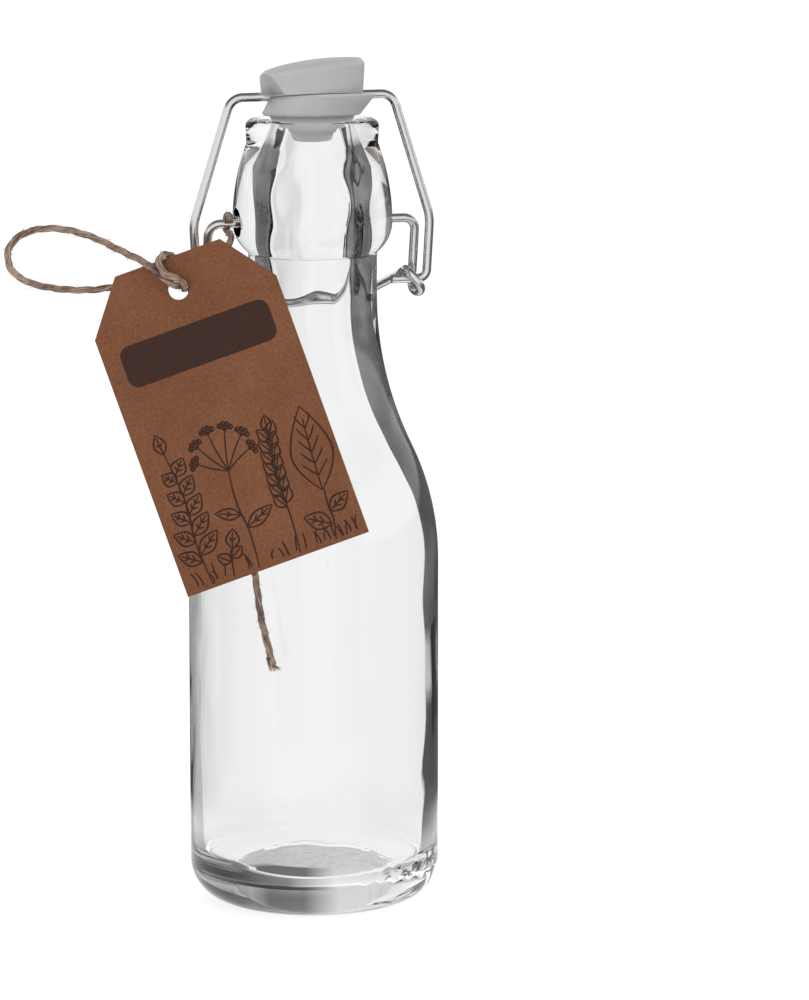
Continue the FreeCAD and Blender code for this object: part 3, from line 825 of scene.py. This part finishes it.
front = 1.40
back = -1.55
entry = -0.45
loop_route = [
    on_tag(0.4, -0.2, entry - 1.2),
    on_tag(0.2, -0.2, front - 0.7),
    on_tag(-1.0, 0.1, front + 0.2),
    on_tag(-3.2, 1.5, front - 0.1),
    on_tag(-5.4, 3.8, front - 0.1),
    on_tag(-8.7, 6.0, front),
    on_tag(-13.0, 8.0, front + 0.2),
    on_tag(-19.2, 11.2, front),
    on_tag(-25.4, 13.3, front - 0.3),
    on_tag(-31.6, 13.9, front - 0.7),
    on_tag(-37.6, 12.6, front - 1.2),
    on_tag(-41.3, 8.6, front - 1.7),
    on_tag(-40.4, 3.4, front - 2.2),
    on_tag(-35.8, 0.4, front - 2.6),
    on_tag(-29.8, -0.8, back),
    on_tag(-23.6, -1.3, back - 0.2),
    on_tag(-17.4, -0.9, back - 0.3),
    on_tag(-11.2, 0.6, back - 0.3),
    on_tag(-5.4, 3.0, back - 0.5),
    on_tag(-1.2, 3.6, back - 0.7),
    on_tag(1.6, 2.4, back - 0.9),
]
loop, loop_line = new_string("twine_loop_strands", loop_route, 110)
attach(loop, "tag")
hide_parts("twine_loop")

wrap_route = [
    on_tag(1.7, -1.0, entry - 1.2),
    on_tag(1.7, -0.8, front - 0.6),
    on_tag(1.5, 1.0, front + 1.0),
    on_tag(-0.2, 1.6, front + 1.3),
    on_tag(-2.2, 2.3, front + 1.5),
    on_tag(-3.7, 3.6, front + 1.6),
    on_tag(-4.6, 5.2, front + 1.0),
    on_tag(-4.2, 6.6, front + 0.3),
    on_tag(-3.2, 7.4, 0.5),
    on_tag(-2.1, 7.5, -1.0),
    on_tag(-0.8, 6.6, -front - 0.6),
    on_tag(0.6, 4.0, -front - 0.7),
    on_tag(1.8, 2.2, -front - 0.9),
]
wrap, _ = new_string("twine_wrap_strands", wrap_route, 30)
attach(wrap, "tag")
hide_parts("twine_wrap")

tail_route = [
    on_tag(3.2, 0.8, back - 0.9),
    on_tag(3.8, -8.0, back - 0.5),
    on_tag(5.2, -18.5, back),
    on_tag(7.8, -30.0, back - 0.3),
    on_tag(10.6, -41.5, back),
    on_tag(13.8, -52.5, back - 0.2),
    on_tag(16.9, -62.5, back),
    on_tag(18.8, -71.5, back - 0.1),
    on_tag(19.6, -79.5, back),
    on_tag(21.4, -87.0, back - 0.1),
    on_tag(22.8, -92.2, back),
]
brush = []
for _ in range(60):
    right, front_by = dice.uniform(-0.8, 0.8), dice.uniform(-0.7, 0.7)
    brush.append([
        on_tag(21.9 + right, -90.4, back + front_by),
        on_tag(22.6 + 1.2 * right, -92.4, back + front_by),
        on_tag(23.3 + 1.9 * right, -93.0 - dice.uniform(0.0, 0.9), back + 1.4 * front_by),
    ])
tail, tail_line = new_string("twine_tail_strands", tail_route, 90, brush)
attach(tail, "tag")
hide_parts("twine_tail")

knot_steps = 25
knot_turns = 2.4
knot_route = []
for step in range(knot_steps + 1):
    turn = step / knot_steps * math.tau * knot_turns
    depth = -1.4 - 2.7 * step / knot_steps
    knot_route.append(on_tag(2.6 + 0.9 * math.cos(turn), 1.4 + 0.9 * math.sin(turn), depth))
knot, _ = new_string("twine_knot_strands", knot_route, 20)
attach(knot, "tag")
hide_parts("twine_knot")

# Studio.
# A pale floor that keeps a soft shadow, even white light from all sides, dark cards that draw the
# edges of the glass, and a camera at the photograph's angle.
white = (1, 1, 1, 1)
# Each card's azimuth, half width and softness in degrees, and how dark it is.
flags = [
    (-56, 14, 3, 1.0), (96, 12, 3, 1.0), (171, 14, 3, 1.0), (-127, 15, 3, 1.0), (-10, 12, 10, 0.28)
]
softbox_direction = (-0.274, -0.956, 0.1)
floor_colour = (0.9, 0.9, 0.9, 1)
floor_reach = 0.115
tongue_reach = 0.5
tongue_direction = (-0.7071, 0.7071, 0)
scene = bpy.context.scene
scene.view_settings.view_transform = "Standard"

studio = bpy.data.worlds.new("studio")
scene.world = studio
studio.use_nodes = True
tree = studio.node_tree
tree.nodes.clear()
add = node_adder(tree)
outlook = add("TexCoord").outputs["Generated"]
direction = add("SeparateXYZ", _0=outlook).outputs
azimuth = calc(add, "ARCTAN2", direction["X"], direction["Y"])
darkest = 0.0
for flag_azimuth, half_width, soft, depth in flags:
    aside = calc(add, "SUBTRACT", azimuth, math.radians(flag_azimuth))
    off = calc(add, "ABSOLUTE", calc(add, "WRAP", aside, math.pi, -math.pi))
    edges = math.radians(half_width - soft), math.radians(half_width + soft)
    darkest = calc(add, "MAXIMUM", darkest, ramp(add, off, *edges, depth, 0.0, smooth=True))
off_level = calc(add, "ABSOLUTE", calc(add, "SUBTRACT", direction["Z"], 0.1))
band = ramp(add, off_level, 0.62, 0.72, 0.86, 0.0, smooth=True)
bright = calc(add, "SUBTRACT", 1.0, calc(add, "MULTIPLY", darkest, band))
facing = along(add, outlook, softbox_direction)
softbox = ramp(add, facing, 0.45, 0.88, 0.14, 1.0, smooth=True)
above = ramp(add, direction["Z"], 0.03, 0.08, 0.0, 1.0)
below = ramp(add, direction["Z"], 0.35, 0.5, 1.0, 0.0)
panels = calc(add, "MAXIMUM", softbox, calc(add, "MULTIPLY", above, below))
lit = add("Background", Color=white, Strength=0.72).outputs[0]
mirrored = add("Background", Color=panels, Strength=1.0).outputs[0]
behind = add("Background", Color=bright, Strength=1.0).outputs[0]
plain = add("Background", Color=white, Strength=1.0).outputs[0]
path = add("LightPath").outputs
shown = mix_shaders(add, path["Is Glossy Ray"], lit, mirrored)
shown = mix_shaders(add, path["Is Transmission Ray"], shown, behind)
shown = mix_shaders(add, path["Is Camera Ray"], shown, plain)
add("OutputWorld", Surface=shown)

bm = bmesh.new()
bmesh.ops.create_grid(bm, x_segments=1, y_segments=1, size=8)
pale_floor, tree, surface, add = new_finish("pale_floor")
surface.inputs["Base Color"].default_value = floor_colour
surface.inputs["Roughness"].default_value = 1.0
surface.inputs["Specular IOR Level"].default_value = 0.0
path = add("LightPath").outputs
in_mirror, through_glass = path["Is Glossy Ray"], path["Is Transmission Ray"]
glow = add("Emission", Color=white, Strength=1.4).outputs[0]
lifted = mix_shaders(add, 0.55, surface.outputs[0], glow)
looked_at = calc(add, "MAXIMUM", path["Is Camera Ray"], in_mirror)
laid = mix_shaders(add, looked_at, surface.outputs[0], lifted)
even = add("Emission", Color=white, Strength=0.97).outputs[0]
laid = mix_shaders(add, through_glass, laid, even)
spot = add("TexCoord").outputs["Object"]
away = add("VectorMath", {"operation": "LENGTH"}, _0=spot).outputs["Value"]
heading = add("VectorMath", {"operation": "NORMALIZE"}, _0=spot).outputs[0]
tongue = calc(add, "MULTIPLY", along(add, heading, tongue_direction), through_glass)
reach = ramp(add, tongue, 0.89, 0.93, floor_reach, tongue_reach)
far = ramp(add, calc(add, "SUBTRACT", away, reach), -0.015, 0.015, 0.0, 1.0)
open_far = calc(add, "MULTIPLY", far, calc(add, "MAXIMUM", in_mirror, through_glass))
laid = mix_shaders(add, open_far, laid, add("BsdfTransparent").outputs[0])
tree.links.new(laid, tree.nodes["Material Output"].inputs["Surface"])
floor = new_piece("floor", bm, pale_floor)

lamp_aim = Vector((0, 0, 0.1))
for name, place, power, size in (
    ("key_light", Vector((-0.85, -0.85, 0.6)), 4.5, 0.7),
    ("fill_light", Vector((0.9, -0.5, 0.6)), 2.0, 0.6),
):
    lamp = bpy.data.lights.new(name, "AREA")
    lamp.energy = power
    lamp.size = size
    lamp_object = bpy.data.objects.new(name, lamp)
    lamp_object.location = place
    lamp_object.rotation_euler = (lamp_aim - place).to_track_quat("-Z", "Y").to_euler()
    lamp_object.visible_transmission = False
    lamp_object.visible_glossy = False
    scene.collection.objects.link(lamp_object)

view = bpy.data.cameras.new("camera")
view.lens = 183.45
view.clip_start = 0.05
camera = bpy.data.objects.new("camera", view)
camera.location = (-0.3445, -1.2016, 0.315)
aim = Vector((0.0218, -0.0063, 0.1006))
camera.rotation_euler = (aim - camera.location).to_track_quat("-Z", "Y").to_euler()
scene.collection.objects.link(camera)
scene.camera = camera
